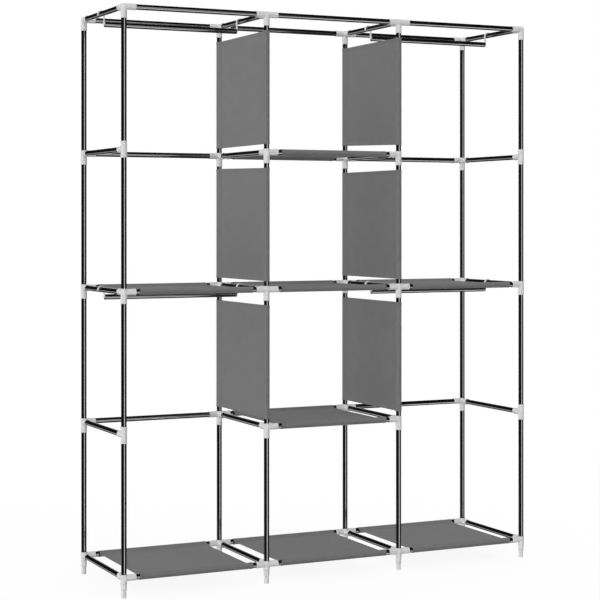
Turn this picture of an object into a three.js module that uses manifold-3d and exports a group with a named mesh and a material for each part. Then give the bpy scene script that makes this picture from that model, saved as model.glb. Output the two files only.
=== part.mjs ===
// Open wardrobe frame with fabric shelves: black steel tubes pushed into pale plastic connectors,
// three bays wide and four tiers high, with fabric dividers and hanging rods that hook over the frame.
// Millimetres, +Z up, +X to the right seen from the open front, which faces -Y.
// The origin is the middle of the footprint, on the floor.
import * as THREE from "three";
import { mergeVertices } from "three/addons/utils/BufferGeometryUtils.js";
import Module from "manifold-3d";

// Grid of the frame, from tube axis to tube axis
const bayNames = ["left", "middle", "right"];
const tierCount = 4;
const bayPitch = 446.5;
const depthPitch = 360;
const tierPitch = 407;
const lowestRailHeight = 57;

// Steel tube of every post, rail and rod
const tubeDiameter = 16;
const tubeWall = 0.5;
const tubeSides = 8;

// Clearance of a tube in its socket, hem or hook, and of a peg in its tube
const fitGap = 0.3;

// Plastic connectors: reaches are from the crossing of the tube axes
const socketWall = 1.5;
const armReach = 35;
const collarReach = 10;
const lowerArmReach = 33;
const sleeveReach = 24;
const capThickness = 1.6;
const railSetback = 12;

// Feet, moulded in one with the lowest connectors
const footHubDrop = 18.5;
const footNeckDiameter = 17;
const footPegDiameter = 13.6;
const footPegHeight = 21;
const footBoreDiameter = 8;
const tubeSeatThickness = 3;

// Fabric shelves and dividers, with a hem sleeve round the tube at each side
const fabricThickness = 1.6;
const hemThickness = 0.9;
const shelfToArmGap = 12;
const dividerToConnectorGap = 14;
const firstDividerTier = 1;

// Hanging rods: a clip at each end hooks over a depth rail, and its peg enters the end of the rod
const upperRodDrop = 30;
const lowerRodDrop = 22;
const rodBehindMiddle = 20;
const clipWall = 2.4;
const hookWidth = 8;
const hookLegDrop = 4;
const strapWidth = 8;
const strapBelowRodAxis = 4;
const pegDiameter = 11;
const pegLength = 12;

// Every cut runs past the faces it opens by this much
const cutOverrun = 1;

const bayCount = bayNames.length;
const middleBay = (bayCount - 1) / 2;
const tubeRadius = tubeDiameter / 2;
const tubeBoreRadius = tubeRadius - tubeWall;
const socketRadius = tubeRadius + fitGap;
const armRadius = socketRadius + socketWall;
const hemRadius = socketRadius + hemThickness;
const clipRadius = socketRadius + clipWall;

const levelHeight = (level) => lowestRailHeight + level * tierPitch;
const columnX = (column) => (column - bayCount / 2) * bayPitch;
const bayCentreX = (bay) => (columnX(bay) + columnX(bay + 1)) / 2;
const rows = [
  { name: "front", y: -depthPitch / 2, inward: 1 },
  { name: "back", y: depthPitch / 2, inward: -1 },
];
const isInnerBay = (bay) => bay === middleBay;
const isFullLevel = (level) => level % 2 === 0;

// The back has a rail in every bay, and the front leaves the outer bays open at every other level.
const hasRail = (row, bay, level) =>
  row.name === "back" || isFullLevel(level) || isInnerBay(bay);
const hasShelf = (bay, level) =>
  level < tierCount && (isFullLevel(level) || isInnerBay(bay));
const hasRod = (bay, level) =>
  level > 0 && isFullLevel(level) && !isInnerBay(bay);

const blackSteel = new THREE.MeshStandardMaterial({
  color: 0x101010,
  roughness: 0.25,
  metalness: 0.6,
});
const palePlastic = new THREE.MeshStandardMaterial({
  color: 0xd4d4d4,
  roughness: 0.45,
  metalness: 0,
});
const greyFabric = new THREE.MeshStandardMaterial({
  color: 0x6c6c6c,
  roughness: 0.95,
  metalness: 0,
});

const wasm = await Module();
wasm.setup();

// A closed geometry as a solid that can be joined and cut
function solidFrom(geometry) {
  const bare = geometry.clone();
  bare.deleteAttribute("normal");
  bare.deleteAttribute("uv");
  const merged = mergeVertices(bare);
  return new wasm.Manifold(
    new wasm.Mesh({
      numProp: 3,
      vertProperties: merged.attributes.position.array,
      triVerts: new Uint32Array(merged.index.array),
    }),
  );
}

function geometryFrom(solid) {
  const mesh = solid.getMesh();
  const geometry = new THREE.BufferGeometry();
  geometry.setAttribute(
    "position",
    new THREE.BufferAttribute(mesh.vertProperties, 3),
  );
  geometry.setIndex(new THREE.BufferAttribute(mesh.triVerts, 1));
  geometry.computeVertexNormals();
  return geometry;
}

const joined = (solids) => solids.reduce((whole, next) => whole.add(next));
const cutBy = (solid, tools) =>
  tools.reduce((left, tool) => left.subtract(tool), solid);

// A round bar along one axis between two places on it, its middle line set off in the other axes
function bar(axis, radius, start, end, offset = new THREE.Vector3()) {
  const geometry = new THREE.CylinderGeometry(
    radius,
    radius,
    Math.abs(end - start),
    tubeSides,
  );
  if (axis === "x") geometry.rotateZ(Math.PI / 2);
  if (axis === "z") geometry.rotateX(Math.PI / 2);
  const centre = offset.clone();
  centre[axis] += (start + end) / 2;
  geometry.translate(centre.x, centre.y, centre.z);
  return solidFrom(geometry);
}

function block(width, depth, height, centre) {
  const geometry = new THREE.BoxGeometry(width, depth, height);
  geometry.translate(centre.x, centre.y, centre.z);
  return solidFrom(geometry);
}

// A length of open steel tube, centred on the origin
function tube(axis, length) {
  const half = length / 2;
  return bar(axis, tubeRadius, -half, half).subtract(
    bar(axis, tubeBoreRadius, -half - cutOverrun, half + cutOverrun),
  );
}

// The horizontal arms that hold cross rails at one level of a post, as signs along X
function crossArms(row, column, level) {
  const signs = [];
  if (column > 0 && hasRail(row, column - 1, level)) signs.push(-1);
  if (column < bayCount && hasRail(row, column, level)) signs.push(1);
  return signs;
}

// How far a connector reaches up and down its post
function postReach(row, column, level) {
  if (level === 0) return { up: collarReach, down: footHubDrop };
  if (crossArms(row, column, level).length === 0)
    return { up: sleeveReach, down: sleeveReach };
  return { up: collarReach, down: lowerArmReach };
}

// Outline of a post from the middle of its foot to the middle of its cap, as radius and height
function postOutline(row, column) {
  const footNeckRadius = footNeckDiameter / 2;
  const footPegRadius = footPegDiameter / 2;
  const points = [
    [0, 0],
    [footPegRadius, 0],
    [footPegRadius, footPegHeight],
    [footNeckRadius, footPegHeight],
    [footNeckRadius, levelHeight(0) - footHubDrop],
  ];
  for (let level = 0; level <= tierCount; level++) {
    const reach = postReach(row, column, level);
    const height = levelHeight(level);
    if (level > 0) points.push([tubeRadius, height - reach.down]);
    points.push([armRadius, height - reach.down]);
    points.push([armRadius, height + reach.up]);
    if (level < tierCount) points.push([tubeRadius, height + reach.up]);
  }
  points.push([0, levelHeight(tierCount) + collarReach]);
  return points.map(([radius, height]) => new THREE.Vector2(radius, height));
}

// A post with its tubes, its connectors and its foot. A back post carries its five depth rails too.
function post(row, column) {
  const shaft = new THREE.LatheGeometry(postOutline(row, column), tubeSides);
  shaft.rotateX(Math.PI / 2);
  const solids = [solidFrom(shaft)];
  const seat = levelHeight(0) - footHubDrop + tubeSeatThickness;
  const boreTop = levelHeight(tierCount) + collarReach - capThickness;
  const cuts = [
    bar("z", tubeBoreRadius, seat, boreTop),
    bar("z", footBoreDiameter / 2, -cutOverrun, seat + cutOverrun),
  ];
  const socketFloor = railSetback - fitGap;
  const socketEnd = armReach + cutOverrun;
  const carriesDepthRails = row.name === "back";
  for (let level = 0; level <= tierCount; level++) {
    const crossing = new THREE.Vector3(0, 0, levelHeight(level));
    for (const sign of crossArms(row, column, level)) {
      solids.push(bar("x", armRadius, 0, sign * armReach, crossing));
      cuts.push(
        bar("x", socketRadius, sign * socketFloor, sign * socketEnd, crossing),
      );
    }
    solids.push(bar("y", armRadius, 0, row.inward * armReach, crossing));
    if (carriesDepthRails) {
      const railEnd = row.inward * (depthPitch - railSetback);
      const railCutEnd = railEnd + row.inward * cutOverrun;
      solids.push(bar("y", tubeRadius, 0, railEnd, crossing));
      cuts.push(bar("y", tubeBoreRadius, 0, railCutEnd, crossing));
    } else {
      const floor = row.inward * socketFloor;
      const end = row.inward * socketEnd;
      cuts.push(bar("y", socketRadius, floor, end, crossing));
    }
  }
  return cutBy(joined(solids), cuts);
}

// A taut shelf: one sheet level with the axes of its front and back rails, hemmed round both
function shelf() {
  const halfWidth = bayPitch / 2 - armReach - shelfToArmGap;
  const hems = rows.map((row) => new THREE.Vector3(0, row.y, 0));
  const sheetCentre = new THREE.Vector3(0, 0, 0);
  const sheet = block(2 * halfWidth, depthPitch, fabricThickness, sheetCentre);
  const sleeves = hems.map((at) =>
    bar("x", hemRadius, -halfWidth, halfWidth, at),
  );
  const bores = hems.map((at) =>
    bar(
      "x",
      socketRadius,
      -halfWidth - cutOverrun,
      halfWidth + cutOverrun,
      at,
    ),
  );
  return cutBy(joined([sheet, ...sleeves]), bores);
}

// An upright divider between a front and a back post, hemmed round both, from z = 0 up
function divider(height) {
  const hems = rows.map((row) => new THREE.Vector3(0, row.y, 0));
  const sheetCentre = new THREE.Vector3(0, 0, height / 2);
  const sheet = block(fabricThickness, depthPitch, height, sheetCentre);
  const sleeves = hems.map((at) => bar("z", hemRadius, 0, height, at));
  const bores = hems.map((at) =>
    bar("z", socketRadius, -cutOverrun, height + cutOverrun, at),
  );
  return cutBy(joined([sheet, ...sleeves]), bores);
}

// A rod clip about its depth rail's axis: a hook over the rail, a strap down on its +X side, and a peg
// that points to +X, on which the rod's bore hangs
function rodClip(rodDrop) {
  const hook = new THREE.Shape();
  hook.moveTo(-clipRadius, -hookLegDrop);
  hook.lineTo(-socketRadius, -hookLegDrop);
  const halfTurnSteps = tubeSides / 2;
  for (let step = 0; step <= halfTurnSteps; step++) {
    const angle = Math.PI * (1 - step / halfTurnSteps);
    hook.lineTo(socketRadius * Math.cos(angle), socketRadius * Math.sin(angle));
  }
  hook.lineTo(socketRadius, -hookLegDrop);
  hook.lineTo(clipRadius, -hookLegDrop);
  for (let step = 0; step <= halfTurnSteps; step++) {
    const angle = (Math.PI * step) / halfTurnSteps;
    hook.lineTo(clipRadius * Math.cos(angle), clipRadius * Math.sin(angle));
  }
  const hookGeometry = new THREE.ExtrudeGeometry(hook, {
    depth: hookWidth,
    bevelEnabled: false,
  });
  hookGeometry.rotateX(Math.PI / 2);
  hookGeometry.translate(0, hookWidth / 2, 0);

  const strapLength = rodDrop + strapBelowRodAxis;
  const strapCentre = new THREE.Vector3(
    (socketRadius + clipRadius) / 2,
    0,
    -strapLength / 2,
  );
  const strap = block(clipWall, strapWidth, strapLength, strapCentre);
  const pegRadius = pegDiameter / 2;
  const pegLift = tubeBoreRadius - fitGap - pegRadius;
  const pegAxis = new THREE.Vector3(0, 0, pegLift - rodDrop);
  const pegEnd = clipRadius + pegLength;
  const peg = bar("x", pegRadius, socketRadius, pegEnd, pegAxis);
  return joined([solidFrom(hookGeometry), strap, peg]);
}

function piece(name, solid, material, x, y, z) {
  const mesh = new THREE.Mesh(geometryFrom(solid), material.clone());
  mesh.name = name;
  mesh.position.set(x, y, z);
  return mesh;
}

const wardrobe = new THREE.Group();

function addPosts() {
  for (const row of rows) {
    for (let column = 0; column <= bayCount; column++) {
      const suffix = row.name === "back" ? "_and_depth_rails" : "";
      const name = `${row.name}_post_${column + 1}${suffix}`;
      const solid = post(row, column);
      wardrobe.add(piece(name, solid, blackSteel, columnX(column), row.y, 0));
    }
  }
}

function addCrossRails() {
  const solid = tube("x", bayPitch - 2 * railSetback);
  for (const row of rows) {
    for (let level = 0; level <= tierCount; level++) {
      for (let bay = 0; bay < bayCount; bay++) {
        if (!hasRail(row, bay, level)) continue;
        const name = `${row.name}_rail_${bayNames[bay]}_level_${level + 1}`;
        const height = levelHeight(level);
        wardrobe.add(
          piece(name, solid, blackSteel, bayCentreX(bay), row.y, height),
        );
      }
    }
  }
}

function addShelves() {
  const solid = shelf();
  for (let level = 0; level < tierCount; level++) {
    for (let bay = 0; bay < bayCount; bay++) {
      if (!hasShelf(bay, level)) continue;
      const name = `fabric_shelf_${bayNames[bay]}_level_${level + 1}`;
      const height = levelHeight(level);
      wardrobe.add(piece(name, solid, greyFabric, bayCentreX(bay), 0, height));
    }
  }
}

function addDividers() {
  const foot = collarReach + dividerToConnectorGap;
  const head = lowerArmReach + dividerToConnectorGap;
  const solid = divider(tierPitch - foot - head);
  for (let tier = firstDividerTier; tier < tierCount; tier++) {
    for (const column of [middleBay, middleBay + 1]) {
      const side = column === middleBay ? "left" : "right";
      const name = `fabric_divider_${side}_tier_${tier + 1}`;
      const bottom = levelHeight(tier) + foot;
      wardrobe.add(piece(name, solid, greyFabric, columnX(column), 0, bottom));
    }
  }
}

function addHangingRods() {
  const rodSolid = tube("x", bayPitch - 2 * (clipRadius + fitGap));
  for (let level = 0; level <= tierCount; level++) {
    for (let bay = 0; bay < bayCount; bay++) {
      if (!hasRod(bay, level)) continue;
      const isUpper = level === tierCount;
      const rodDrop = isUpper ? upperRodDrop : lowerRodDrop;
      const clipSolid = rodClip(rodDrop);
      const place = `${bayNames[bay]}_${isUpper ? "upper" : "lower"}`;
      const assembly = new THREE.Group();
      assembly.position.set(
        bayCentreX(bay),
        rodBehindMiddle,
        levelHeight(level),
      );
      assembly.add(
        piece(`hanging_rod_${place}`, rodSolid, blackSteel, 0, 0, -rodDrop),
      );
      for (const end of [-1, 1]) {
        const isOuter = (bay < middleBay) === end < 0;
        const clip = piece(
          `rod_clip_${place}_${isOuter ? "outer" : "inner"}`,
          clipSolid,
          palePlastic,
          (end * bayPitch) / 2,
          0,
          0,
        );
        if (end > 0) clip.rotation.z = Math.PI;
        assembly.add(clip);
      }
      wardrobe.add(assembly);
    }
  }
}

addPosts();
addCrossRails();
addShelves();
addDividers();
addHangingRods();

export default wardrobe;
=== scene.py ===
"""Looks of the open wardrobe: round tubes, moulded connectors with feet, rod clips, fabric shelves
and fabric dividers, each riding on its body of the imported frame. Metres, +Z up, the open front
faces -Y, the origin is the middle of the footprint on the floor."""

import math

import bmesh
import bpy
import numpy as np
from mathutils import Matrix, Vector, noise


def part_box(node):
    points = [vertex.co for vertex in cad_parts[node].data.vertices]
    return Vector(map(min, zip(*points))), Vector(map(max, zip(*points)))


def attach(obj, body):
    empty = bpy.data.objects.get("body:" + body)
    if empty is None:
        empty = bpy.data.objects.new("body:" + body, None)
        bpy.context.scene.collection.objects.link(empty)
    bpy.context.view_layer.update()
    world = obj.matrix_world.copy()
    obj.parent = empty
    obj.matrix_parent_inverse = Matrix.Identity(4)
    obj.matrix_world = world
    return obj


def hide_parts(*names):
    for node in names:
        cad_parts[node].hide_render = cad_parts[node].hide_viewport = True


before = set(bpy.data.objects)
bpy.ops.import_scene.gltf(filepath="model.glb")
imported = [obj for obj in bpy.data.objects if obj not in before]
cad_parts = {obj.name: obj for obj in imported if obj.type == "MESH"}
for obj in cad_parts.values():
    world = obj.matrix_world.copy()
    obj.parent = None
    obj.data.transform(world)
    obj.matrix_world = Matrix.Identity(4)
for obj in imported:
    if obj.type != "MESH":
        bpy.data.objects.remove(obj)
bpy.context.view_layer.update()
scene = bpy.context.scene

MM = 0.001

# Sizes that the frame's boxes don't give
TUBE_WALL = 0.5 * MM
TUBE_INSERT = 7 * MM
ARM_REACH = 35 * MM
COLLAR_REACH = 10 * MM
LOWER_ARM_REACH = 33 * MM
SLEEVE_REACH = 24 * MM
HUB_DROP = 18.5 * MM
CLOTH = 0.9 * MM
TUBE_TO_CLOTH = 0.3 * MM

BAYS = ("left", "middle", "right")
ROWS = ("front", "back")
INWARD = {"front": 1, "back": -1}
LEVEL_COUNT = 5

# Flat sides of every round shape
ROUND_SIDES = 40

# The photograph's viewpoint, fitted to the posts, rails and feet seen in it
CAMERA_PLACE = (-2.2716, -4.6733, 1.0757)
CAMERA_TURN = math.radians(-25.656)
PICTURE_SIDE = 600
FOCAL_PIXELS = 1666.05
HORIZON_ROW = 220.28
SENSOR = 36
FARTHEST_SEEN = 200


def add_camera():
    """A level camera with a long lens, aimed to the right of straight in."""
    data = bpy.data.cameras.new("camera")
    data.sensor_width = SENSOR
    data.lens = FOCAL_PIXELS / PICTURE_SIDE * SENSOR
    data.shift_y = (HORIZON_ROW - PICTURE_SIDE / 2) / PICTURE_SIDE
    data.clip_end = FARTHEST_SEEN
    camera = bpy.data.objects.new("camera", data)
    camera.location = CAMERA_PLACE
    camera.rotation_euler = (math.radians(90), 0, CAMERA_TURN)
    scene.collection.objects.link(camera)
    scene.camera = camera


add_camera()


# Layout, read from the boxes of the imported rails
def middle_of(node):
    low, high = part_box(node)
    return (low + high) / 2


bay_x = [middle_of(f"front_rail_{bay}_level_1").x for bay in BAYS]
pitch = bay_x[1] - bay_x[0]
column_x = [bay_x[0] + (column - 0.5) * pitch for column in range(len(BAYS) + 1)]
row_y = {row: middle_of(f"{row}_rail_left_level_1").y for row in ROWS}
level_z = [middle_of(f"back_rail_left_level_{level + 1}").z for level in range(LEVEL_COUNT)]
top_level = LEVEL_COUNT - 1
rail_low, rail_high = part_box("back_rail_left_level_1")
tube_radius = (rail_high.z - rail_low.z) / 2
arm_radius = row_y["front"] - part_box("front_post_1")[0].y


def has_rail(row, bay, level):
    return 0 <= bay < len(BAYS) and f"{row}_rail_{BAYS[bay]}_level_{level + 1}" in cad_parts


def post_node(row, column):
    ending = "_and_depth_rails" if row == "back" else ""
    return f"{row}_post_{column + 1}{ending}"


# Outlines
def rounded(corners, radius, steps=3):
    """A closed profile with each corner rounded, as steps + 1 points to a corner."""
    made = []
    count = len(corners)
    for index, corner in enumerate(corners):
        here = Vector(corner)
        before = Vector(corners[index - 1]) - here
        after = Vector(corners[(index + 1) % count]) - here
        # Just under half of a side, so that the rounds at its two ends never meet
        cut = min(radius, before.length / 2.01, after.length / 2.01)
        start = here + before.normalized() * cut
        end = here + after.normalized() * cut
        for step in range(steps + 1):
            t = step / steps
            made.append(start * (1 - t) ** 2 + here * 2 * t * (1 - t) + end * t**2)
    return [tuple(p) for p in made]


def arc(centre, radius, start, end, steps):
    """Points of an arc between two angles in degrees."""
    points = []
    for step in range(steps + 1):
        angle = math.radians(start + (end - start) * step / steps)
        points.append((centre[0] + radius * math.cos(angle), centre[1] + radius * math.sin(angle)))
    return points


def along_path(path):
    """The length of a path up to each of its points, and the direction to its left there."""
    lengths = [0.0]
    for a, b in zip(path, path[1:]):
        lengths.append(lengths[-1] + math.dist(a, b))
    sides = []
    for index in range(len(path)):
        before = Vector(path[max(index - 1, 0)])
        after = Vector(path[min(index + 1, len(path) - 1)])
        ahead = (after - before).normalized()
        sides.append(Vector((-ahead.y, ahead.x)))
    return lengths, sides


# Meshes
def mesh_from(name, points, faces):
    mesh = bpy.data.meshes.new(name)
    mesh.from_pydata([tuple(p) for p in points], [], [tuple(f) for f in faces])
    mesh.validate()
    mesh.polygons.foreach_set("use_smooth", [True] * len(mesh.polygons))
    mesh.update()
    return mesh


def face_outward(mesh):
    """Turn every face of a closed mesh to the outside."""
    bm = bmesh.new()
    bm.from_mesh(mesh)
    bmesh.ops.recalc_face_normals(bm, faces=bm.faces)
    bm.to_mesh(mesh)
    bm.free()


def ring_faces(rings, count):
    """Quads between successive rings of count points."""
    faces = []
    for ring in range(rings - 1):
        near = ring * count
        far = near + count
        for step in range(count):
            after = (step + 1) % count
            faces.append([near + step, near + after, far + after, far + step])
    return faces


def lathe(profile, sides=ROUND_SIDES, closed=True):
    """Points and faces of a profile of (radius, height) turned round Z. A radius of 0 closes an end."""
    points = []
    rings = []
    for radius, height in profile:
        if radius < 1e-9:
            rings.append([len(points)] * sides)
            points.append(Vector((0, 0, height)))
            continue
        rings.append(list(range(len(points), len(points) + sides)))
        for step in range(sides):
            angle = 2 * math.pi * step / sides
            points.append(Vector((radius * math.cos(angle), radius * math.sin(angle), height)))
    faces = []
    pairs = list(zip(rings, rings[1:]))
    if closed:
        pairs.append((rings[-1], rings[0]))
    for lower, upper in pairs:
        for step in range(sides):
            after = (step + 1) % sides
            corners = [lower[step], lower[after], upper[after], upper[step]]
            face = list(dict.fromkeys(corners))
            if len(face) > 2:
                faces.append(face)
    return points, faces


def turned(points, axis, shift=Vector()):
    """Points of a shape about Z, laid along another axis."""
    turn = Vector((0, 0, 1)).rotation_difference(Vector(axis)).to_matrix()
    return [turn @ p + shift for p in points]


def gather(parts):
    """Several (points, faces) as one."""
    points = []
    faces = []
    for some_points, some_faces in parts:
        base = len(points)
        points.extend(some_points)
        faces.extend([[base + i for i in face] for face in some_faces])
    return points, faces


# Tubes
TUBE_END_ROUND = 0.2 * MM
TUBE_END_BAND = 1 * MM


def tube_mesh(length):
    """An open tube about Z from 0 to length, with its thin wall and softened rims. Rings a little way
    in from the rims keep the shading of the long wall between them straight."""
    outer = tube_radius
    inner = tube_radius - TUBE_WALL
    near = TUBE_END_BAND
    far = length - TUBE_END_BAND
    corners = [(outer, 0), (outer, near), (outer, far), (outer, length)]
    corners += [(inner, length), (inner, far), (inner, near), (inner, 0)]
    return mesh_from("tube", *lathe(rounded(corners, TUBE_END_ROUND, 2)))


# Moulded shapes, skinned from a field that gives every point's distance outside the shape
MOULD_EDGE = 0.8 * MM
SKIN_STEP = 1.7 * MM
SKIN_MARGIN = 4 * MM
SETTLE_ROUNDS = 5
LEAST_SLOPE = 0.1


def arm_distance(points, axis, low, high, radius):
    """The field of a round bar along an axis from low to high, its ends softened."""
    along = points @ axis
    across = np.linalg.norm(points - along[..., None] * axis, axis=-1)
    side = across - (radius - MOULD_EDGE)
    end = np.abs(along - (low + high) / 2) - ((high - low) / 2 - MOULD_EDGE)
    inside = np.minimum(np.maximum(side, end), 0)
    return inside + np.hypot(np.maximum(side, 0), np.maximum(end, 0)) - MOULD_EDGE


def blended(first, second, reach):
    """The union of two fields with a fillet."""
    h = np.maximum(reach - np.abs(first - second), 0) / reach
    return np.minimum(first, second) - h * h * reach / 4


def skin(distance, low, high):
    """Points and quads of the surface where a field is zero: one point in each cell of a grid that the
    surface crosses, settled on the surface, and one quad for each edge of the grid that it cuts."""
    axes = [np.arange(low[i], high[i] + SKIN_STEP, SKIN_STEP) for i in range(3)]
    grid = np.stack(np.meshgrid(*axes, indexing="ij"), axis=-1)
    inside = distance(grid) < 0
    count = np.zeros([size - 1 for size in inside.shape], int)
    for corner in np.ndindex(2, 2, 2):
        cut = tuple(slice(c, size - 1 + c) for c, size in zip(corner, inside.shape))
        count += inside[cut]
    active = (count > 0) & (count < 8)
    number = np.full(active.shape, -1)
    number[active] = np.arange(active.sum())
    points = grid[:-1, :-1, :-1][active] + SKIN_STEP / 2
    nudge = 0.05 * SKIN_STEP
    for _ in range(SETTLE_ROUNDS):
        value = distance(points)
        slope = np.stack([distance(points + nudge * axis) - value for axis in np.eye(3)], axis=-1)
        slope /= nudge
        steepness = np.maximum((slope**2).sum(-1), LEAST_SLOPE)
        points = points - (value / steepness)[:, None] * slope
    faces = []
    for order in ((0, 1, 2), (1, 2, 0), (2, 0, 1)):
        lower = np.moveaxis(inside, order, (0, 1, 2))
        cells = np.moveaxis(number, order, (0, 1, 2))
        start = lower[:-1, 1:-1, 1:-1]
        crossing = start != lower[1:, 1:-1, 1:-1]
        i, j, k = np.nonzero(crossing)
        corners = [cells[i, j, k], cells[i, j + 1, k], cells[i, j + 1, k + 1], cells[i, j, k + 1]]
        quads = np.stack(corners, axis=-1)
        outward = start[i, j, k]
        quads[~outward] = quads[~outward][:, ::-1]
        faces.extend(quads.tolist())
    return [Vector(p) for p in points.tolist()], faces


# Connectors: a plain body, and a slightly flared mouth at the end of each arm that takes a tube
RIM_LENGTH = 2.8 * MM
RIM_RISE = 0.5 * MM
RIM_STEP = 0.4 * MM
RIM_SLOPE = 0.7 * MM
RIM_ROUND = 0.5 * MM
MOUTH_GAP = 0.15 * MM
BODY_SHORT_OF_MOUTH = 1.2 * MM
ARM_FILLET = 4 * RIM_RISE


def rim(axis, reach):
    """The mouth of an arm, round the tube that enters it."""
    outer = arm_radius
    inner = tube_radius + MOUTH_GAP
    start = reach - RIM_LENGTH
    corners = [
        (inner, start),
        (outer - RIM_RISE - RIM_STEP, start),
        (outer, start + RIM_SLOPE),
        (outer, reach),
        (inner, reach),
    ]
    points, faces = lathe(rounded(corners, RIM_ROUND))
    return turned(points, axis), faces


connector_shapes = {}


def connector_mesh(arms):
    """A moulded connector about the crossing of its tubes. Arms are (direction, reach, has a mouth)."""
    key = tuple(arms)
    if key in connector_shapes:
        return connector_shapes[key]
    radius = arm_radius - RIM_RISE
    spans = []
    for axis in np.eye(3):
        ends = []
        for direction, reach, has_mouth in arms:
            length = reach - BODY_SHORT_OF_MOUTH if has_mouth else reach
            ends.append(np.dot(axis, direction) * length)
        if any(ends):
            spans.append((axis, min(0, *ends), max(0, *ends)))

    def distance(points):
        whole = arm_distance(points, *spans[0], radius)
        for span in spans[1:]:
            whole = blended(whole, arm_distance(points, *span, radius), ARM_FILLET)
        return np.minimum(whole, np.linalg.norm(points, axis=-1) - radius)

    low = [-radius - SKIN_MARGIN] * 3
    high = [radius + SKIN_MARGIN] * 3
    for direction, reach, _ in arms:
        for i in range(3):
            low[i] = min(low[i], direction[i] * reach - SKIN_MARGIN)
            high[i] = max(high[i], direction[i] * reach + SKIN_MARGIN)
    parts = [skin(distance, low, high)]
    for direction, reach, has_mouth in arms:
        if has_mouth:
            parts.append(rim(direction, reach))
    mesh = mesh_from("connector", *gather(parts))
    connector_shapes[key] = mesh
    return mesh


FOOT_ROUND = 0.9 * MM
FOOT_OVERLAP = 2 * MM


def foot_mesh():
    """The foot under a lowest connector: a straight neck and a narrower peg with a moulded hollow."""
    top = level_z[0] - HUB_DROP + FOOT_OVERLAP
    corners = [
        (7.0 * MM, top),
        (8.6 * MM, top),
        (8.4 * MM, 30 * MM),
        (8.3 * MM, 22.6 * MM),
        (7.0 * MM, 21.2 * MM),
        (6.75 * MM, 14 * MM),
        (6.9 * MM, 3 * MM),
        (7.0 * MM, 0),
        (4.2 * MM, 0),
        (4.0 * MM, 9 * MM),
        (4.0 * MM, 24 * MM),
    ]
    return mesh_from("foot", *lathe(rounded(corners, FOOT_ROUND)))


# Rod clips
CLIP_WALL = 2.4 * MM
CLIP_WIDTH = 8 * MM
CLIP_EDGE = 0.6 * MM
CLIP_TIP = 0.3 * MM
HOOK_LEG = 4 * MM
HOOK_STEPS = 16
TIP_STEPS = 8
STRAP_BELOW_ROD = 4 * MM
PEG_RADIUS = 5.5 * MM
PEG_LIFT = 1.7 * MM
PEG_LENGTH = 12 * MM
PEG_ROUND = 0.8 * MM
PEG_SIDES = 32


def band(path, width, thickness):
    """A flat band in the XZ plane along a path of (x, z), its edges rounded and its last end a half
    round."""
    half = width / 2
    lengths, sides = along_path(path)
    points = []
    for (x, z), length, side in zip(path, lengths, sides):
        short = half - min(lengths[-1] - length, half)
        reach = max(math.sqrt(half**2 - short**2), CLIP_TIP)
        corners = [
            (-thickness / 2, -reach),
            (thickness / 2, -reach),
            (thickness / 2, reach),
            (-thickness / 2, reach),
        ]
        section = rounded(corners, CLIP_EDGE)
        for offset, y in section:
            points.append(Vector((x - side.x * offset, y, z - side.y * offset)))
    count = len(section)
    first_end = list(range(count))[::-1]
    last_end = [len(points) - count + i for i in range(count)]
    return points, [first_end, last_end, *ring_faces(len(path), count)]


def clip_mesh(drop, radius):
    """A rod clip about its depth rail's axis: hook over the rail, strap down beside the rod's end, and a
    peg towards +X that carries the rod from inside."""
    line = radius - CLIP_WALL / 2
    path = [(-line, -HOOK_LEG), (-line, -HOOK_LEG / 2)]
    path += arc((0, 0), line, 180, 0, HOOK_STEPS)
    tip = -drop - STRAP_BELOW_ROD
    path.append((line, tip + CLIP_WIDTH))
    for step in range(TIP_STEPS + 1):
        path.append((line, tip + CLIP_WIDTH / 2 * (1 - math.sin(math.pi / 2 * step / TIP_STEPS))))
    hook = band(path, CLIP_WIDTH, CLIP_WALL)
    root = radius - CLIP_WALL / 2
    far = radius + PEG_LENGTH
    corners = [(0, root), (PEG_RADIUS, root), (PEG_RADIUS, far), (0, far)]
    # Only the second and third corner are rounded, with four points each
    outside = rounded(corners, PEG_ROUND)[4:12]
    points, faces = lathe([corners[0], *outside, corners[3]], PEG_SIDES, closed=False)
    peg = (turned(points, (1, 0, 0), Vector((0, 0, PEG_LIFT - drop))), faces)
    mesh = mesh_from("rod_clip", *gather([hook, peg]))
    face_outward(mesh)
    return mesh


# Cloth, made as one long strip that runs along a path and round the tube at each end
SEAM_ALLOWANCE = 10 * MM
SHELF_SEAM = 16 * MM
SHELF_PULL = 2.5 * MM
SHELF_EASE = 22 * MM
SHELF_RIPPLE = 0.5 * MM
DIVIDER_SEAM = 20 * MM
DIVIDER_RIPPLE = 0.9 * MM
FOLD_GAP = 0.03 * MM
FOLD_LAP = 1 * MM
POCKET_STEPS = 30
SPAN_STEPS = 30
HEM_WIDTH = 8 * MM
HEM_RISE = 0.35 * MM
HEM_SLOPE = 0.5 * MM
cloth_radius = tube_radius + TUBE_TO_CLOTH + CLOTH / 2

# Threads near a side edge, as places in from it, and the number of equal steps between both groups
EDGE_THREADS = [edge * MM for edge in (0, 0.8, 3, 7.6, 8.2, 14)]
THREAD_STEPS = 22

# How far some dividers' corners have slid up their posts: lower front, lower back, upper front, upper back
SLID_CORNERS = {
    ("left", 3): (0, 0, 0, 7 * MM),
    ("right", 4): (6 * MM, 17 * MM, 0, 0),
}
UNMOVED = (0, 0, 0, 0)


def hem(to_edge):
    """The thickness that the turned hem adds along a side edge."""
    return HEM_RISE * min(1, max(0, (HEM_WIDTH - to_edge) / HEM_SLOPE))


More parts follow.
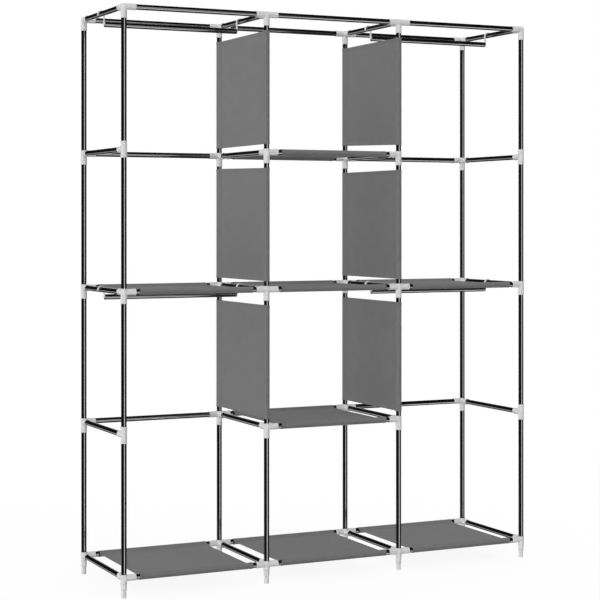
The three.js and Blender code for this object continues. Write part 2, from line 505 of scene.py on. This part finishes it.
def strip_mesh(path, width, place, lay, wave):
    """A closed sheet of cloth along a path, with its texture coordinates in metres of cloth, and its length.
    place turns (across the sheet, along it, beside) into a point, lay says how far beside a thread lies
    once the sheet is hung, and wave how far it stands off its plane."""
    half = width / 2
    inner = half - EDGE_THREADS[-1]
    threads = [-half + edge for edge in EDGE_THREADS]
    threads += [-inner + 2 * inner * step / THREAD_STEPS for step in range(1, THREAD_STEPS)]
    threads += [half - edge for edge in reversed(EDGE_THREADS)]
    lengths, sides = along_path(path)
    points = []
    for outside in (True, False):
        for (across, along), side in zip(path, sides):
            for thread in threads:
                offset = CLOTH / 2 + hem(half - abs(thread)) if outside else -CLOTH / 2
                beyond = across + side.x * offset + wave(thread, along)
                points.append(place(beyond, along + side.y * offset, lay(thread, along)))
    rows = len(path)
    count = len(threads)
    faces = []
    coordinates = []

    def at(row, column, layer):
        return (layer * rows + row) * count + column

    for row in range(rows - 1):
        for column in range(count - 1):
            quad = [(row, column), (row, column + 1), (row + 1, column + 1), (row + 1, column)]
            for layer, order in ((0, quad), (1, quad[::-1])):
                faces.append([at(r, c, layer) for r, c in order])
                coordinates.append([(threads[c], lengths[r]) for r, c in order])
    border = [(0, c) for c in range(count)]
    border += [(r, count - 1) for r in range(1, rows)]
    border += [(rows - 1, c) for c in range(count - 2, -1, -1)]
    border += [(r, 0) for r in range(rows - 2, 0, -1)]
    for index, (r, c) in enumerate(border):
        r2, c2 = border[(index + 1) % len(border)]
        faces.append([at(r2, c2, 0), at(r, c, 0), at(r, c, 1), at(r2, c2, 1)])
        coordinates.append([(threads[c2], lengths[r2]), (threads[c], lengths[r])] * 2)
    mesh = mesh_from("cloth", points, faces)
    uv = mesh.uv_layers.new(name="cloth")
    for polygon, corners in zip(mesh.polygons, coordinates):
        for loop, corner in zip(polygon.loop_indices, corners):
            uv.data[loop].uv = corner
    face_outward(mesh)
    return mesh, lengths[-1]


def pocket_path(seam):
    """A sheet's section in (across, along) with a pocket round the tube at each end: the sheet lies on the
    side where across is negative and the turned-in ends on the other, closed by a seam."""
    y = row_y["back"]
    inset = CLOTH / 2 + FOLD_GAP
    lean = math.degrees(math.acos(cloth_radius / math.hypot(seam, inset)))
    front = [(inset, -y + seam + SEAM_ALLOWANCE), (inset, -y + seam + FOLD_LAP)]
    front += arc((0, -y), cloth_radius, 90 - lean, -270 + lean, POCKET_STEPS)
    front += [(-inset, -y + seam)]
    middle = [(-inset, -(y - seam) * (1 - 2 * i / SPAN_STEPS)) for i in range(1, SPAN_STEPS)]
    back = [(a, -b) for a, b in reversed(front)]
    return front + middle + back


# A stitch is a short round bar that narrows at both ends, in rings of (place along it, share of its
# radius)
STITCH_LENGTH = 3.0 * MM
STITCH_GAP = 1.4 * MM
STITCH_RADIUS = 0.28 * MM
STITCH_LIFT = 0.08 * MM
STITCH_SIDES = 5
STITCH_RINGS = ((-0.5, 0.3), (-0.3, 1), (0.3, 1), (0.5, 0.3))

# Rows of stitches: how far in from the seam, from its ends and from a side edge, and pieces to a row
SEAM_ROW_IN = 2.5 * MM
SEAM_ROW_SHORT = 4 * MM
SEAM_ROW_PIECES = 8
HEM_ROW_IN = 5.5 * MM
HEM_ROW_PIECES = 12


def stitches(lines):
    """Rows of stitches as (points, faces). A line is (start, end, normal), a hair above the cloth."""
    sides = range(STITCH_SIDES)
    last_ring = (len(STITCH_RINGS) - 1) * STITCH_SIDES
    faces = [[*reversed(sides)], [last_ring + side for side in sides]]
    faces += ring_faces(len(STITCH_RINGS), STITCH_SIDES)
    parts = []
    for start, end, normal in lines:
        length = (end - start).length
        ahead = (end - start).normalized()
        side = ahead.cross(normal)
        count = int(length / (STITCH_LENGTH + STITCH_GAP))
        for index in range(count):
            middle = start + ahead * (index + 0.5) * length / count
            points = []
            for along, share in STITCH_RINGS:
                centre = middle + ahead * along * STITCH_LENGTH
                for corner in sides:
                    angle = 2 * math.pi * corner / STITCH_SIDES
                    out = side * math.cos(angle) + normal * math.sin(angle)
                    points.append(centre + out * STITCH_RADIUS * share)
            parts.append((points, faces))
    return gather(parts)


def sheet_meshes(width, seam, place, lay, wave):
    """The cloth of a sheet with two pockets, the stitches of its seams and hems, and its cut length."""
    cloth, cut_length = strip_mesh(pocket_path(seam), width, place, lay, wave)
    half = width / 2
    seam_at = row_y["back"] - seam - SEAM_ROW_IN
    outside = CLOTH + STITCH_LIFT
    lines = []

    def add_row(first, second, facing, height, pieces):
        spots = []
        for i in range(pieces + 1):
            thread = first[0] + (second[0] - first[0]) * i / pieces
            along = first[1] + (second[1] - first[1]) * i / pieces
            spots.append(place(facing * height + wave(thread, along), along, lay(thread, along)))
        normal = place(facing, 0, 0)
        for a, b in zip(spots, spots[1:]):
            lines.append((a, b, normal))

    for sign in (-1, 1):
        along = sign * seam_at
        end = half - SEAM_ROW_SHORT
        for facing in (-1, 1):
            add_row((-end, along), (end, along), facing, outside, SEAM_ROW_PIECES)
        thread = sign * (half - HEM_ROW_IN)
        add_row((thread, -seam_at), (thread, seam_at), -1, outside + HEM_RISE, HEM_ROW_PIECES)
    return cloth, mesh_from("stitches", *stitches(lines)), cut_length


# Materials
def add_node(material, kind, **values):
    node = material.node_tree.nodes.new(kind)
    for name, value in values.items():
        node.inputs[name.replace("_", " ")].default_value = value
    return node


def new_material(name, **values):
    material = bpy.data.materials.new(name)
    material.use_nodes = True
    shader = material.node_tree.nodes["Principled BSDF"]
    for socket, value in values.items():
        shader.inputs[socket.replace("_", " ")].default_value = value
    return material, shader


def noise_node(material, place, scale, detail, **values):
    """A noise texture's value at a place."""
    node = add_node(material, "ShaderNodeTexNoise", Scale=scale, Detail=detail, **values)
    material.node_tree.links.new(place, node.inputs["Vector"])
    return node.outputs["Fac"]


def ramp(material, source, stops):
    """A colour ramp of (place, grey or colour) stops fed by a socket."""
    node = add_node(material, "ShaderNodeValToRGB")
    elements = node.color_ramp.elements
    for element, (place, value) in zip(elements, stops):
        element.position = place
        shade = value if isinstance(value, tuple) else (value, value, value)
        element.color = (*shade, 1)
    material.node_tree.links.new(source, node.inputs["Fac"])
    return node.outputs["Color"]


def feed(material, shader, socket, source, stops):
    """Drive one socket of the shader by a ramp."""
    material.node_tree.links.new(ramp(material, source, stops), shader.inputs[socket])


def multiplied(material, first, second):
    node = add_node(material, "ShaderNodeMix")
    node.data_type = "RGBA"
    node.blend_type = "MULTIPLY"
    node.inputs["Factor"].default_value = 1
    material.node_tree.links.new(first, node.inputs["A"])
    material.node_tree.links.new(second, node.inputs["B"])
    return node.outputs["Result"]


def bump(material, shader, height, strength, normal=None):
    """Relief of a fifth of a millimetre at most, over an earlier relief if there is one."""
    node = add_node(material, "ShaderNodeBump", Strength=strength, Distance=0.2 * MM)
    links = material.node_tree.links
    links.new(height, node.inputs["Height"])
    if normal is not None:
        links.new(normal, node.inputs["Normal"])
    links.new(node.outputs["Normal"], shader.inputs["Normal"])
    return node.outputs["Normal"]


def scaled(shade, factor):
    return tuple(c * factor for c in shade)


def tube_coating():
    """Gloss black coating on steel: nearly mirror smooth, with faint flow marks along the tube."""
    material, shader = new_material("gloss_black_tube", IOR=1.9)
    place = add_node(material, "ShaderNodeTexCoord").outputs["Object"]
    stretch = add_node(material, "ShaderNodeMapping", Scale=(1, 1, 0.12))
    material.node_tree.links.new(place, stretch.inputs["Vector"])
    marks = noise_node(material, stretch.outputs["Vector"], 90, 3)
    feed(material, shader, "Base Color", marks, [(0.3, 0.003), (0.8, 0.005)])
    feed(material, shader, "Roughness", marks, [(0.3, 0.12), (0.75, 0.16)])
    return material


def moulded_plastic(name, shade, roughness=(0.36, 0.52)):
    """Satin moulded plastic with a fine grain and slight cloudiness."""
    material, shader = new_material(name, IOR=1.46)
    place = add_node(material, "ShaderNodeTexCoord").outputs["Object"]
    cloud = noise_node(material, place, 55, 3)
    feed(material, shader, "Base Color", cloud, [(0.25, scaled(shade, 0.94)), (0.75, scaled(shade, 1.04))])
    grain = noise_node(material, place, 1400, 3)
    feed(material, shader, "Roughness", grain, [(0.2, roughness[0]), (0.8, roughness[1])])
    bump(material, shader, grain, 0.12)
    return material


def non_woven(name, shade):
    """Non-woven cloth: a lattice of small pressed points in matted fibres."""
    material, shader = new_material(name, IOR=1.4, Sheen_Weight=0.12, Sheen_Roughness=0.5)
    links = material.node_tree.links
    place = add_node(material, "ShaderNodeTexCoord").outputs["UV"]
    lattice = add_node(material, "ShaderNodeMapping", Rotation=(0, 0, math.radians(45)))
    links.new(place, lattice.inputs["Vector"])
    points = add_node(material, "ShaderNodeTexVoronoi", Scale=620, Randomness=0.12)
    links.new(lattice.outputs["Vector"], points.inputs["Vector"])
    pressed = ramp(material, points.outputs["Distance"], [(0.16, 0.0), (0.34, 1.0)])
    fibres = noise_node(material, place, 1500, 5, Roughness=0.65)
    cloud = noise_node(material, place, 24, 3)
    matted = ramp(material, fibres, [(0.2, scaled(shade, 0.8)), (0.8, scaled(shade, 1.22))])
    dotted = multiplied(material, matted, ramp(material, pressed, [(0.0, 0.82), (1.0, 1.0)]))
    clouded = multiplied(material, dotted, ramp(material, cloud, [(0.3, 0.96), (0.7, 1.03)]))
    links.new(clouded, shader.inputs["Base Color"])
    feed(material, shader, "Roughness", fibres, [(0.2, 0.82), (0.8, 0.98)])
    fibre_relief = bump(material, shader, fibres, 0.25)
    bump(material, shader, pressed, 0.5, fibre_relief)
    return material


def thread_material():
    """Grey sewing thread with a fine twist."""
    material, shader = new_material("grey_thread", IOR=1.45, Sheen_Weight=0.2)
    place = add_node(material, "ShaderNodeTexCoord").outputs["Object"]
    twist = noise_node(material, place, 2500, 2)
    feed(material, shader, "Base Color", twist, [(0.3, 0.10), (0.7, 0.17)])
    feed(material, shader, "Roughness", twist, [(0.3, 0.6), (0.7, 0.8)])
    return material


BLACK = tube_coating()
PLASTIC = moulded_plastic("pale_plastic", (0.715, 0.715, 0.715))
CLIP_PLASTIC = moulded_plastic("clip_plastic", (0.74, 0.74, 0.74), (0.3, 0.42))
FOOT_PLASTIC = moulded_plastic("foot_plastic", (0.73, 0.73, 0.73))
CLOTH_MATERIAL = non_woven("grey_non_woven", (0.181, 0.181, 0.183))
THREAD = thread_material()


# Pieces
def add_piece(name, mesh, material, body, nodes, place, turn=(0, 0, 0)):
    """A piece in place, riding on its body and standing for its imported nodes."""
    if not mesh.materials:
        mesh.materials.append(material)
    piece = bpy.data.objects.new(name, mesh)
    piece.location = place
    piece.rotation_euler = turn
    scene.collection.objects.link(piece)
    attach(piece, body)
    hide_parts(*nodes)
    return piece


tube_meshes = {}


def add_tube(name, start, axis, length, body, nodes):
    """A tube from its start along an axis. Tubes of one length share a mesh."""
    key = round(length, 5)
    if key not in tube_meshes:
        tube_meshes[key] = tube_mesh(length)
    turn = Vector((0, 0, 1)).rotation_difference(Vector(axis)).to_euler()
    add_piece(name, tube_meshes[key], BLACK, body, nodes, start, turn)


def reaches(row, column, level):
    """How far the connector at a place reaches up and down its post."""
    if level == 0:
        return COLLAR_REACH, HUB_DROP
    if not has_rail(row, column - 1, level) and not has_rail(row, column, level):
        return SLEEVE_REACH, SLEEVE_REACH
    return COLLAR_REACH, LOWER_ARM_REACH


def connector_arms(row, column, level):
    """The arms of the connector at a place, as (direction, reach, has a mouth)."""
    up, down = reaches(row, column, level)
    arms = [((0, 0, -1), down, level > 0)]
    if level < top_level:
        arms.append(((0, 0, 1), up, True))
    for sign, bay in ((-1, column - 1), (1, column)):
        if has_rail(row, bay, level):
            arms.append(((sign, 0, 0), ARM_REACH, True))
    arms.append(((0, INWARD[row], 0), ARM_REACH, True))
    return arms


def add_post(row, column, feet):
    nodes = [post_node(row, column)]
    spot = Vector((column_x[column], row_y[row], 0))
    label = f"{row}_{column + 1}"
    for level, height in enumerate(level_z):
        mesh = connector_mesh(connector_arms(row, column, level))
        place = spot + Vector((0, 0, height))
        name = f"connector_{label}_level_{level + 1}"
        add_piece(name, mesh, PLASTIC, "frame", nodes, place)
        if level == top_level:
            continue
        start = height + reaches(row, column, level)[0] - TUBE_INSERT
        end = level_z[level + 1] - reaches(row, column, level + 1)[1] + TUBE_INSERT
        name = f"post_tube_{label}_tier_{level + 1}"
        add_tube(name, spot + Vector((0, 0, start)), (0, 0, 1), end - start, "frame", nodes)
    add_piece(f"foot_{label}", feet, FOOT_PLASTIC, "frame", nodes, spot)


def add_posts():
    feet = foot_mesh()
    for row in ROWS:
        for column in range(len(column_x)):
            add_post(row, column, feet)


def add_rails():
    inner = ARM_REACH - TUBE_INSERT
    for row in ROWS:
        for level, height in enumerate(level_z):
            for bay, label in enumerate(BAYS):
                if not has_rail(row, bay, level):
                    continue
                node = f"{row}_rail_{label}_level_{level + 1}"
                start = Vector((column_x[bay] + inner, row_y[row], height))
                add_tube(f"tube_{node}", start, (1, 0, 0), pitch - 2 * inner, "frame", [node])
    depth = row_y["back"] - row_y["front"]
    for column, x in enumerate(column_x):
        nodes = [post_node("back", column)]
        for level, height in enumerate(level_z):
            start = Vector((x, row_y["front"] + inner, height))
            name = f"tube_depth_rail_{column + 1}_level_{level + 1}"
            add_tube(name, start, (0, 1, 0), depth - 2 * inner, "frame", nodes)


def add_rods():
    for height, hung_from in (("lower", 2), ("upper", 4)):
        level = level_z[hung_from]
        clips = None
        for side, bay in (("left", 0), ("right", 2)):
            place = f"{side}_{height}"
            body = f"rod_{place}"
            rod = f"hanging_rod_{place}"
            low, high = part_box(rod)
            middle = (low + high) / 2
            start = Vector((low.x, middle.y, middle.z))
            add_tube(f"tube_{rod}", start, (1, 0, 0), high.x - low.x, body, [rod])
            for end in ("outer", "inner"):
                node = f"rod_clip_{place}_{end}"
                clip_low, clip_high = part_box(node)
                if clips is None:
                    clips = clip_mesh(level - middle.z, clip_high.z - level)
                at_left = clip_low.x + clip_high.x < 2 * middle.x
                x = column_x[bay] if at_left else column_x[bay + 1]
                spot = (x, middle.y, level)
                turn = (0, 0, 0 if at_left else math.pi)
                name = f"molded_{node}"
                add_piece(name, clips, CLIP_PLASTIC, body, [node], spot, turn)


def add_sheet(label, meshes, spot, node):
    cloth_mesh, stitch_mesh, cut_length = meshes
    cloth = add_piece(f"cloth_{label}", cloth_mesh, CLOTH_MATERIAL, "frame", [node], spot)
    seams = add_piece(f"seams_{label}", stitch_mesh, THREAD, "frame", [node], spot)


def ripple(seed, seam, height):
    """A standing-off of a few tenths of a millimetre that dies away towards both pockets."""
    span = row_y["back"] - seam

    def wave(thread, along):
        taut = min(1.0, max(0.0, 1 - (along / span) ** 2) * 3)
        return height * taut * noise.noise(Vector((thread * 16, along * 5, seed)))

    return wave


def add_shelves():
    low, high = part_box("fabric_shelf_left_level_1")
    width = high.x - low.x
    span = row_y["back"] - SHELF_SEAM

    def lay(thread, along):
        """The pull across a taut sheet draws its side edges in, away from the pockets."""
        share = min(1.0, max(0.0, (span - abs(along)) / SHELF_EASE))
        share = share * share * (3 - 2 * share)
        return thread * (1 - share * SHELF_PULL / (width / 2))

    def place(across, along, beside):
        return Vector((beside, along, -across))

    for index, bay in enumerate(BAYS):
        for level in range(top_level):
            node = f"fabric_shelf_{bay}_level_{level + 1}"
            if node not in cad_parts:
                continue
            wave = ripple(3.1 * index + 1.7 * level, SHELF_SEAM, SHELF_RIPPLE)
            meshes = sheet_meshes(width, SHELF_SEAM, place, lay, wave)
            spot = (bay_x[index], 0, level_z[level])
            add_sheet(f"shelf_{bay}_level_{level + 1}", meshes, spot, node)


def slid_lay(shifts, height):
    """How the threads of a divider lie when its corners have slid up their posts."""
    lower_front, lower_back, upper_front, upper_back = shifts
    depth = row_y["back"] - row_y["front"]

    def lay(thread, along):
        back = along / depth + 0.5
        lower = lower_front + (lower_back - lower_front) * back
        upper = upper_front + (upper_back - upper_front) * back
        share = thread / height + 0.5
        return thread + lower + (upper - lower) * share

    return lay


def add_dividers():
    low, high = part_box("fabric_divider_left_tier_2")
    height = high.z - low.z

    def place(across, along, beside):
        return Vector((across, along, beside))

    for side, column in (("left", 1), ("right", 2)):
        for tier in (2, 3, 4):
            lay = slid_lay(SLID_CORNERS.get((side, tier), UNMOVED), height)
            wave = ripple(2.3 * column + 5.1 * tier, DIVIDER_SEAM, DIVIDER_RIPPLE)
            meshes = sheet_meshes(height, DIVIDER_SEAM, place, lay, wave)
            node = f"fabric_divider_{side}_tier_{tier}"
            spot = (column_x[column], 0, middle_of(node).z)
            add_sheet(f"divider_{side}_tier_{tier}", meshes, spot, node)


add_posts()
add_rails()
add_rods()
add_shelves()
add_dividers()


# Nodes of the stage and the world
def drive(tree, socket, source):
    """Set a socket to a number, or feed it from another socket."""
    if isinstance(source, (int, float)):
        socket.default_value = source
    else:
        tree.links.new(source, socket)


def math_node(tree, operation, *sources):
    node = tree.nodes.new("ShaderNodeMath")
    node.operation = operation
    for socket, source in zip(node.inputs, sources):
        drive(tree, socket, source)
    return node.outputs[0]


def fade(tree, source, at_none, at_full):
    """0 where the source is at_none, 1 where it is at_full, and a straight rise between."""
    node = tree.nodes.new("ShaderNodeMapRange")
    tree.links.new(source, node.inputs["Value"])
    node.inputs["From Min"].default_value = at_none
    node.inputs["From Max"].default_value = at_full
    return node.outputs[0]


def mix_shader(tree, share, first, second):
    node = tree.nodes.new("ShaderNodeMixShader")
    for socket, source in zip(node.inputs, (share, first, second)):
        tree.links.new(source, socket)
    return node.outputs[0]


# The floor turns from a mat surface that takes the shadow to plain white between two distances
FLOOR_HALF = 40
FLOOR_NEAR = 1.3
FLOOR_FAR = 2.6
FLOOR_SHADE = 0.8
FLOOR_SEEN_SHADE = 0.16
FLOOR_SEEN_GLOW = 0.86


def add_floor():
    """A white floor: to the camera a pale mat surface with the object's shadow, and white further out.
    What gloss mirrors in its place is the studio in the world."""
    low = -FLOOR_HALF
    high = FLOOR_HALF
    corners = [(low, low, 0), (high, low, 0), (high, high, 0), (low, high, 0)]
    mesh = mesh_from("floor", corners, [(0, 1, 2, 3)])
    floor = bpy.data.objects.new("floor", mesh)
    floor.visible_glossy = False
    floor.visible_transmission = False
    scene.collection.objects.link(floor)
    material = bpy.data.materials.new("white_floor")
    material.use_nodes = True
    tree = material.node_tree
    tree.nodes.clear()
    out = tree.nodes.new("ShaderNodeOutputMaterial")
    path = tree.nodes.new("ShaderNodeLightPath")
    distance = tree.nodes.new("ShaderNodeVectorMath")
    distance.operation = "LENGTH"
    tree.links.new(tree.nodes.new("ShaderNodeTexCoord").outputs["Object"], distance.inputs[0])

    def diffuse(shade):
        node = tree.nodes.new("ShaderNodeBsdfDiffuse")
        node.inputs["Color"].default_value = (shade, shade, shade, 1)
        return node.outputs[0]

    def glow(strength):
        node = tree.nodes.new("ShaderNodeEmission")
        node.inputs["Strength"].default_value = strength
        return node.outputs[0]

    shadowed = tree.nodes.new("ShaderNodeAddShader")
    tree.links.new(diffuse(FLOOR_SEEN_SHADE), shadowed.inputs[0])
    tree.links.new(glow(FLOOR_SEEN_GLOW), shadowed.inputs[1])
    far = fade(tree, distance.outputs["Value"], FLOOR_NEAR, FLOOR_FAR)
    seen = mix_shader(tree, far, shadowed.outputs[0], glow(1))
    surface = mix_shader(tree, path.outputs["Is Camera Ray"], diffuse(FLOOR_SHADE), seen)
    tree.links.new(surface, out.inputs["Surface"])
    mesh.materials.append(material)


SUN_SPREAD = math.radians(20)


def add_sun(name, place, radiance, shadow=True):
    """A soft sun, the same at every depth of the open frame, that gloss does not mirror."""
    data = bpy.data.lights.new(name, "SUN")
    data.energy = radiance * math.pi
    data.angle = SUN_SPREAD
    data.use_shadow = shadow
    lamp = bpy.data.objects.new(name, data)
    lamp.location = place
    lamp.rotation_euler = (-Vector(place)).to_track_quat("-Z", "Y").to_euler()
    lamp.visible_camera = False
    lamp.visible_glossy = False
    scene.collection.objects.link(lamp)


# The world's light on mat surfaces: even, and more from above
SKY_EVEN = 0.32
SKY_OVERHEAD = 0.27

# What gloss mirrors: a white sweep behind the object, within some degrees of the photograph's line of
# sight, and light cards. A card is the side it stands on (-1 in front, 1 behind), the angles in degrees
# between which it stands to the right of that side and above the horizon, and its strength.
VIEW_AHEAD = (0.433, 0.901, 0)
SWEEP_ANGLE = 20
SWEEP_SOFTNESS = 4
STUDIO_DARK = 0.01
CARD_SOFTNESS = 3
CARDS = (
    (-1, -12, 22, -16, 12, 4.9),
    (-1, 6, 60, -56, -29, 4.9),
    (1, -40, -12, -28, -10, 1.6),
)


def window(tree, angle, low, high):
    """1 where an angle in radians lies between two in degrees, with soft edges."""
    rise = fade(tree, angle, math.radians(low - CARD_SOFTNESS), math.radians(low + CARD_SOFTNESS))
    fall = fade(tree, angle, math.radians(high + CARD_SOFTNESS), math.radians(high - CARD_SOFTNESS))
    return math_node(tree, "MULTIPLY", rise, fall)


def add_world():
    """Plain white to the camera, soft light for mat surfaces and the studio for gloss."""
    world = bpy.data.worlds.new("studio")
    scene.world = world
    world.use_nodes = True
    tree = world.node_tree
    tree.nodes.clear()
    out = tree.nodes.new("ShaderNodeOutputWorld")
    path = tree.nodes.new("ShaderNodeLightPath")
    direction = tree.nodes.new("ShaderNodeTexCoord").outputs["Generated"]
    parts = tree.nodes.new("ShaderNodeSeparateXYZ")
    tree.links.new(direction, parts.inputs[0])
    x, y, z = parts.outputs

    def background(strength):
        node = tree.nodes.new("ShaderNodeBackground")
        node.inputs["Color"].default_value = (1, 1, 1, 1)
        drive(tree, node.inputs["Strength"], strength)
        return node.outputs[0]

    ahead = tree.nodes.new("ShaderNodeVectorMath")
    ahead.operation = "DOT_PRODUCT"
    tree.links.new(direction, ahead.inputs[0])
    ahead.inputs[1].default_value = VIEW_AHEAD
    outer = math.cos(math.radians(SWEEP_ANGLE + SWEEP_SOFTNESS))
    inner = math.cos(math.radians(SWEEP_ANGLE - SWEEP_SOFTNESS))
    sweep = fade(tree, ahead.outputs["Value"], outer, inner)
    studio = math_node(tree, "MAXIMUM", sweep, STUDIO_DARK)
    height = math_node(tree, "ARCSINE", z)
    for side, left, right, low, high, strength in CARDS:
        turn = math_node(tree, "ARCTAN2", x, math_node(tree, "MULTIPLY", y, side))
        card = math_node(tree, "MULTIPLY", window(tree, turn, left, right), window(tree, height, low, high))
        studio = math_node(tree, "ADD", studio, math_node(tree, "MULTIPLY", card, strength))
    overhead = math_node(tree, "MULTIPLY", math_node(tree, "MAXIMUM", z, 0), SKY_OVERHEAD)
    lighting = background(math_node(tree, "ADD", overhead, SKY_EVEN))
    mirror = math_node(tree, "MAXIMUM", path.outputs["Is Glossy Ray"], path.outputs["Is Transmission Ray"])
    lit = mix_shader(tree, mirror, lighting, background(studio))
    whole = mix_shader(tree, path.outputs["Is Camera Ray"], lit, background(1))
    tree.links.new(whole, out.inputs["Surface"])


add_floor()
add_sun("key_sun", (2.6, -3.6, 2.2), 0.1)
add_sun("fill_sun", (-3.6, -1.0, 2.4), 0.6, shadow=False)
add_world()
scene.view_settings.view_transform = "Standard"
